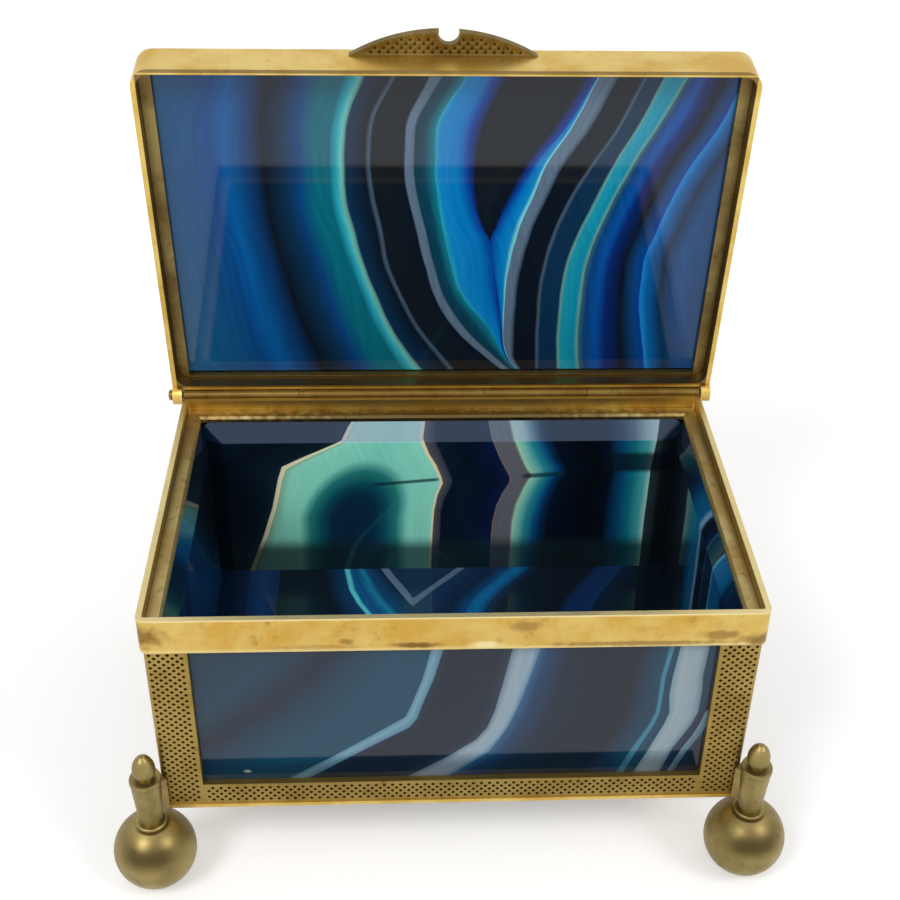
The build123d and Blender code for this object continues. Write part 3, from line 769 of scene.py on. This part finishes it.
print("floor veins", len(floor_veins))

# %% [markdown]
# ## Pricked brass
#
# The corner angles, the bottom rails and the thumbpiece are brass sheet, into which rows of dots were punched
# by hand. A bump map would only hint at that, so the dots are real. A grid of rectangles is poked, so that
# each gets four triangles, and dissolving the grid's own lines leaves diamonds in staggered rows. Each
# diamond is inset, its corners are cut to make it nearly round, and a second inset sinks its floor. Dirt stays
# in the dots, so they get a darker brass.

# %% A sheet of pricked brass
PRICK_PITCH = 1.0 * MM
PRICK_RISE = 0.95 * MM
PRICK_INSET = 0.16 * MM
PRICK_DEPTH = 0.25 * MM
PRICK_TAPER = 0.06 * MM
PLAIN_EDGE = 0.15 * MM
CUT_SHARE = 0.5
SHARP_ANGLE = math.radians(30)


def pricked_sheet(width, height, thickness, plain_middle=0.0):
    """A sheet that faces -Y at y = 0, centred on Z, pricked all over but for a plain stripe down its middle."""
    columns = round((width - 2 * PLAIN_EDGE) / PRICK_PITCH)
    rows = round((height - 2 * PLAIN_EDGE) / PRICK_RISE)
    field = Vector((width - 2 * PLAIN_EDGE, 0, height - 2 * PLAIN_EDGE))
    sheet = bmesh.new()
    bmesh.ops.create_grid(sheet, x_segments=columns, y_segments=rows, size=0.5)
    lines = [e for e in sheet.edges if len(e.link_faces) == 2]
    bmesh.ops.poke(sheet, faces=list(sheet.faces))
    bmesh.ops.dissolve_edges(sheet, edges=lines, use_verts=False)
    bmesh.ops.scale(sheet, vec=(field.x, field.z, 1), verts=sheet.verts)
    bmesh.ops.rotate(sheet, matrix=Matrix.Rotation(math.pi / 2, 3, "X"), verts=sheet.verts)
    diamonds = [f for f in sheet.faces if len(f.verts) == 4 and abs(f.calc_center_median().x) >= plain_middle / 2]
    bmesh.ops.inset_individual(sheet, faces=diamonds, thickness=PRICK_INSET, use_even_offset=True)
    bmesh.ops.bevel(sheet, geom=[v for f in diamonds for v in f.verts], offset=PRICK_INSET * CUT_SHARE,
                    offset_type="OFFSET", segments=1, profile=0.5, affect="VERTICES", material=-1)
    floors = [f for f in sheet.faces if len(f.verts) == 8]
    walls = bmesh.ops.inset_individual(sheet, faces=floors, thickness=PRICK_TAPER, depth=-PRICK_DEPTH)["faces"]
    for face in floors + walls:
        face.material_index = 1
    for grow_x, grow_z, sink in ((width / field.x, height / field.z, 0), (1, 1, thickness)):
        rim = [e for e in sheet.edges if e.is_boundary]
        made = bmesh.ops.extrude_edge_only(sheet, edges=rim)["geom"]
        corners = [v for v in made if isinstance(v, bmesh.types.BMVert)]
        bmesh.ops.scale(sheet, vec=(grow_x, 1, grow_z), verts=corners)
        bmesh.ops.translate(sheet, vec=(0, sink, 0), verts=corners)
    bmesh.ops.holes_fill(sheet, edges=sheet.edges)
    bmesh.ops.recalc_face_normals(sheet, faces=sheet.faces)
    return sheet, len(floors)


def piece_from(sheet, name, node_name, body, finish):
    """Makes an object of a bmesh and puts it in the place of a CAD node."""
    data = bpy.data.meshes.new(name)
    sheet.to_mesh(data)
    sheet.free()
    data.shade_smooth()
    data.set_sharp_from_angle(angle=SHARP_ANGLE)
    data.materials.append(finish)
    data.materials.append(brass["pit_brass"])
    piece = bpy.data.objects.new(name, data)
    bpy.context.scene.collection.objects.link(piece)
    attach(piece, body)
    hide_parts(node_name)


dots = 0
for side_name, quarter_turns in (("front", 0), ("right", 1), ("back", 2), ("left", 3)):
    rail_name = "bottom_rail_" + side_name
    low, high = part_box(rail_name)
    size = high - low
    length, thickness = max(size.x, size.y), min(size.x, size.y)
    sheet, count = pricked_sheet(length, size.z, thickness)
    bmesh.ops.translate(sheet, vec=(0, -thickness / 2, 0), verts=sheet.verts)
    bmesh.ops.rotate(sheet, matrix=Matrix.Rotation(quarter_turns * math.pi / 2, 3, "Z"), verts=sheet.verts)
    bmesh.ops.translate(sheet, vec=(low + high) / 2, verts=sheet.verts)
    piece_from(sheet, "pricked_rail_" + side_name, rail_name, "casket", brass["olive_strip"])
    dots += count
print("dots on the rails", dots)

# %% [markdown]
# ## Corner angles
#
# Each angle is first a flat strip, as long as its developed width, and is then bent round the corner. Bisecting
# the strip along the bend gives the sheet the edges that it needs to curve.

# %% Corner stiles
STILE_CORNER = 0.65 * MM
BEND_STEPS = 8
PLAIN_STRIPE = 1.0 * MM
half_arc = STILE_CORNER * math.pi / 4


def bent(point):
    """A point of the flat strip, bent round a quarter circle whose middle faces -Y."""
    angle = max(-math.pi / 4, min(math.pi / 4, point.x / STILE_CORNER))
    past = point.x - max(-half_arc, min(half_arc, point.x))
    reach = STILE_CORNER - point.y
    return Vector((reach * math.sin(angle) + past * math.cos(angle),
                   -reach * math.cos(angle) + past * math.sin(angle),
                   point.z))


rail_low, rail_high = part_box("bottom_rail_front")
stile_thickness = (rail_high - rail_low).y
dots = 0
for corner_name, degrees in (("front_left", -45), ("front_right", 45), ("back_right", 135), ("back_left", 225)):
    stile_name = "corner_stile_" + corner_name
    low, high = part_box(stile_name)
    size = high - low
    developed = 2 * (size.x - STILE_CORNER) + 2 * half_arc
    sheet, count = pricked_sheet(developed, size.z, stile_thickness, PLAIN_STRIPE)
    for step in range(BEND_STEPS + 1):
        line_x = half_arc * (2 * step / BEND_STEPS - 1)
        bmesh.ops.bisect_plane(sheet, geom=list(sheet.verts) + list(sheet.edges) + list(sheet.faces),
                               plane_co=(line_x, 0, 0), plane_no=(1, 0, 0))
    for vert in sheet.verts:
        vert.co = bent(vert.co)
    bmesh.ops.rotate(sheet, matrix=Matrix.Rotation(math.radians(degrees), 3, "Z"), verts=sheet.verts)
    side_x = 1 if "right" in corner_name else -1
    side_y = 1 if "back" in corner_name else -1
    corner_x = (high.x if side_x > 0 else low.x) - side_x * STILE_CORNER
    corner_y = (high.y if side_y > 0 else low.y) - side_y * STILE_CORNER
    bmesh.ops.translate(sheet, vec=(corner_x, corner_y, (low.z + high.z) / 2), verts=sheet.verts)
    piece_from(sheet, "pricked_stile_" + corner_name, stile_name, "casket", brass["olive_strip"])
    dots += count
print("dots on the stiles", dots)

# %% [markdown]
# ## The thumbpiece
#
# The crescent's CAD mesh already has the right outline. Its two flat faces are taken off, small rings are laid
# on the same planes, and triangle fill closes the faces again round the rings. Each ring is then drawn in
# to a blind hole.

# %% Thumbpiece
THUMB_MARGIN = 0.42 * MM
THUMB_DOT = 0.2 * MM
THUMB_PITCH = 1.05 * MM
DOT_SIDES = 8
DOT_TAPER = 0.5
WELD = 0.001 * MM
SAME_LEVEL = 0.01 * MM


def clear_of_outline(spot, outline):
    """True where a spot lies inside the outline and far enough from it."""
    crossings = 0
    for a, b in outline:
        way = b - a
        share = max(0.0, min(1.0, (spot - a).dot(way) / way.length_squared))
        if (a + way * share - spot).length < THUMB_MARGIN:
            return False
        if (a.y > spot.y) != (b.y > spot.y) and spot.x < a.x + (spot.y - a.y) / way.y * way.x:
            crossings += 1
    return crossings % 2 == 1


swing = Matrix.Translation(hinge_place) @ Matrix.Rotation(lid_turn, 4, "X") @ Matrix.Translation(-hinge_place)
crescent = bmesh.new()
crescent.from_mesh(nodes["lid_thumbpiece"].data)
bmesh.ops.remove_doubles(crescent, verts=crescent.verts, dist=WELD)
bmesh.ops.recalc_face_normals(crescent, faces=crescent.faces)
bmesh.ops.transform(crescent, matrix=swing, verts=crescent.verts)
bottom = min(v.co.z for v in crescent.verts)
top = max(v.co.z for v in crescent.verts)
print("thumbpiece shut, thickness", round((top - bottom) / MM, 3), "faces", len(crescent.faces))
for level, facing in ((bottom, -1), (top, 1)):
    flat = [f for f in crescent.faces if all(abs(v.co.z - level) < SAME_LEVEL for v in f.verts)]
    edges = [e for e in {e for f in flat for e in f.edges} if sum(f in flat for f in e.link_faces) == 1]
    outline = [(e.verts[0].co.copy(), e.verts[1].co.copy()) for e in edges]
    bmesh.ops.delete(crescent, geom=flat, context="FACES_ONLY")
    low_x, high_x = min(a.x for a, _ in outline), max(a.x for a, _ in outline)
    low_y, high_y = min(a.y for a, _ in outline), max(a.y for a, _ in outline)
    rings = []
    for row in range(1, int((high_y - low_y) / (THUMB_PITCH / 2))):
        for column in range(int((high_x - low_x) / THUMB_PITCH) + 1):
            shift = THUMB_PITCH / 2 if row % 2 else 0
            spot = Vector((low_x + shift + column * THUMB_PITCH, high_y - row * THUMB_PITCH / 2, level))
            if clear_of_outline(spot, outline):
                ring = bmesh.ops.create_circle(crescent, segments=DOT_SIDES, radius=THUMB_DOT,
                                               matrix=Matrix.Translation(spot))["verts"]
                rings.append(ring)
    ring_edges = list({e for ring in rings for v in ring for e in v.link_edges})
    bmesh.ops.triangle_fill(crescent, edges=edges + ring_edges, use_beauty=True, normal=(0, 0, facing))
    for ring in rings:
        ring_edge = [e for e in {e for v in ring for e in v.link_edges} if all(v in ring for v in e.verts)]
        made = bmesh.ops.extrude_edge_only(crescent, edges=ring_edge)["geom"]
        inner = [v for v in made if isinstance(v, bmesh.types.BMVert)]
        centre = sum((v.co for v in inner), Vector()) / len(inner)
        bmesh.ops.scale(crescent, vec=(DOT_TAPER, DOT_TAPER, 1), verts=inner, space=Matrix.Translation(-centre))
        bmesh.ops.translate(crescent, vec=(0, 0, -facing * PRICK_DEPTH), verts=inner)
        floor_edges = [e for e in made if isinstance(e, bmesh.types.BMEdge)]
        floor_faces = bmesh.ops.contextual_create(crescent, geom=floor_edges)["faces"]
        for face in floor_faces + [f for f in made if isinstance(f, bmesh.types.BMFace)]:
            face.material_index = 1
    print("dots on one face", len(rings))
bmesh.ops.recalc_face_normals(crescent, faces=crescent.faces)
bmesh.ops.transform(crescent, matrix=swing.inverted(), verts=crescent.verts)
piece_from(crescent, "pricked_thumbpiece", "lid_thumbpiece", "lid", brass["thumb_brass"])

# %% [markdown]
# ## Finish on the frame's nodes
#
# A node keeps its mesh and gets its material by its name.

# %% Give each node its finish
finishes = {
    "rim_band": rim_gold, "lid_band": lid_gold, "lid_top_frame": lid_gold, "bottom_frame": lid_gold,
    "wall_bezel": ledge_brass, "lid_bezel": brass["lid_ledge"], "corner_posts": brass["dark_brass"],
    "lid_thumbpiece": brass["thumb_brass"], "lid_agate": lid_agate,
    "agate_front": front_agate, "agate_back": back_agate, "agate_floor": floor_agate,
}
finishes.update(side_agates)
prefixes = {
    "hinge_": brass["hinge_gold"], "lid_knuckle": brass["hinge_gold"],
    "corner_stile": brass["olive_strip"], "bottom_rail": brass["olive_strip"], "foot_": foot_brass,
}
for name, node in nodes.items():
    finish = finishes.get(name)
    for prefix, material in prefixes.items():
        if finish is None and name.startswith(prefix):
            finish = material
    node.data.materials.clear()
    node.data.materials.append(finish)
print("finished nodes", len(nodes))

# %% [markdown]
# ## Studio
#
# The photograph was taken on white. A wide floor catches a soft shadow, and the world is white. Light Path
# lets the camera, and the polished surfaces, see the floor and the world as plain white, while the light on
# the object stays at a level at which a colour renders as it is written. In the photograph the foot of the front
# slice reflects something narrow and dark that lay close by, so a dark card lies there, which only reflections
# can see. Far from the lamps the floor would look grey, so its own glow grows a little with distance.


# %% Floor and world
FLOOR_WIDTH = 6.0
FLOOR_FADE = (150, 900)
FLOOR_GLOW = (0.3, 0.46)
SHADE_NEAR = 12.6 * MM
SHADE_FAR = 15.9 * MM
SHADE_WIDTH = 69 * MM
SHADE_LIFT = 0.1 * MM
SEEN_WHITE = 1.0
UNSEEN_WHITE = 0.7
MATTE = 0.9


def seen_directly(tree):
    """1 for rays that show the background: camera, glossy and transmission rays."""
    path = tree.nodes.new("ShaderNodeLightPath").outputs
    seen = math_node("MAXIMUM", path["Is Camera Ray"], path["Is Glossy Ray"])
    return math_node("MAXIMUM", seen, path["Is Transmission Ray"])


def flat_plane(name, width, depth, place, material):
    """A level rectangle with its middle at a place."""
    grid = bmesh.new()
    bmesh.ops.create_grid(grid, x_segments=1, y_segments=1, size=0.5)
    bmesh.ops.scale(grid, vec=(width, depth, 1), verts=grid.verts)
    bmesh.ops.translate(grid, vec=place, verts=grid.verts)
    data = bpy.data.meshes.new(name)
    grid.to_mesh(data)
    grid.free()
    data.materials.append(material)
    plane = bpy.data.objects.new(name, data)
    bpy.context.scene.collection.objects.link(plane)
    return plane


floor_white = new_material("floor_white")
floor_distance = add_node("ShaderNodeVectorMath", {0: mapped(floor_white)}, "Value", operation="LENGTH")
glow = map_range(floor_distance, *FLOOR_FADE, *FLOOR_GLOW)
set_surface(floor_white, {
    "Base Color": (0.8, 0.8, 0.8, 1), "Roughness": MATTE, "Specular IOR Level": 0.0,
    "Emission Color": (1, 1, 1, 1), "Emission Strength": product(seen_directly(floor_white.node_tree), glow),
})
flat_plane("studio_floor", FLOOR_WIDTH, FLOOR_WIDTH, (0, 0, 0), floor_white)

shade_dark = new_material("shade_dark")
set_surface(shade_dark, {"Base Color": (0.01, 0.01, 0.01, 1), "Roughness": MATTE})
shade_place = (0, rim_low.y - (SHADE_NEAR + SHADE_FAR) / 2, SHADE_LIFT)
shade = flat_plane("table_shade", SHADE_WIDTH, SHADE_FAR - SHADE_NEAR, shade_place, shade_dark)
shade.visible_camera = shade.visible_diffuse = shade.visible_shadow = False

world = bpy.data.worlds.new("studio_world")
bpy.context.scene.world = world
world.use_nodes = True
background = world.node_tree.nodes["Background"]
put(background.inputs["Color"], (1, 1, 1, 1))
world_light = map_range(seen_directly(world.node_tree), 0, 1, UNSEEN_WHITE, SEEN_WHITE, smooth=False)
put(background.inputs["Strength"], world_light)
print("floor", FLOOR_WIDTH, "m wide")

# %% [markdown]
# ## Lamps
#
# Two wide round lamps light the casket from the front: a stronger one from the left and a weaker one from the
# right. Their size keeps the shadows soft, and the balls show them as two soft highlights.


# %% Lamps
LAMP_AIM = Vector((0, 0, 0.03))


def soft_lamp(name, place, size, power):
    data = bpy.data.lights.new(name, "AREA")
    data.shape = "DISK"
    data.size = size
    data.energy = power
    lamp = bpy.data.objects.new(name, data)
    bpy.context.scene.collection.objects.link(lamp)
    lamp.location = place
    lamp.rotation_euler = (LAMP_AIM - Vector(place)).to_track_quat("-Z", "Y").to_euler()
    print(name, power, "W")


soft_lamp("key_lamp", (-0.45, -0.5, 0.7), 0.35, 3.2)
soft_lamp("fill_lamp", (0.55, -0.35, 0.6), 0.3, 1.8)

# %% [markdown]
# ## Camera
#
# The photograph looks down at the casket from in front and a little to its left, from quite near, which is
# why the verticals lean. The lens was matched to measured corners.

# %% Camera
CAMERA_TILT = math.radians(35.05)
CAMERA_ROUND = math.radians(-3.4)
CAMERA_ROLL = math.radians(1.43)
CAMERA_DISTANCE = 180.95
CAMERA_TARGET = Vector((2.18, 2.42, 41.4))
SENSOR = 36.0
IMAGE_PIXELS = 900
FOCAL_PIXELS = 1423.8
CENTRE_PIXEL = (466.2, 479.8)

back = Vector((math.sin(CAMERA_ROUND) * math.cos(CAMERA_TILT),
               -math.cos(CAMERA_ROUND) * math.cos(CAMERA_TILT),
               math.sin(CAMERA_TILT)))
right = (-back).cross(Vector((0, 0, 1))).normalized()
up = right.cross(-back)
right_rolled = right * math.cos(CAMERA_ROLL) + up * math.sin(CAMERA_ROLL)
up_rolled = up * math.cos(CAMERA_ROLL) - right * math.sin(CAMERA_ROLL)
camera_data = bpy.data.cameras.new("camera")
camera = bpy.data.objects.new("camera", camera_data)
bpy.context.scene.collection.objects.link(camera)
turn = Matrix((right_rolled, up_rolled, back)).transposed()
camera.matrix_world = Matrix.Translation((CAMERA_TARGET + back * CAMERA_DISTANCE) * MM) @ turn.to_4x4()
camera_data.sensor_width = SENSOR
camera_data.lens = FOCAL_PIXELS / IMAGE_PIXELS * SENSOR
camera_data.shift_x = (IMAGE_PIXELS / 2 - CENTRE_PIXEL[0]) / IMAGE_PIXELS
camera_data.shift_y = (CENTRE_PIXEL[1] - IMAGE_PIXELS / 2) / IMAGE_PIXELS
camera_data.clip_start = 0.005
camera_data.clip_end = 20.0
bpy.context.scene.camera = camera
bpy.context.scene.view_settings.view_transform = "Standard"
print("lens", round(camera_data.lens, 1), "mm")
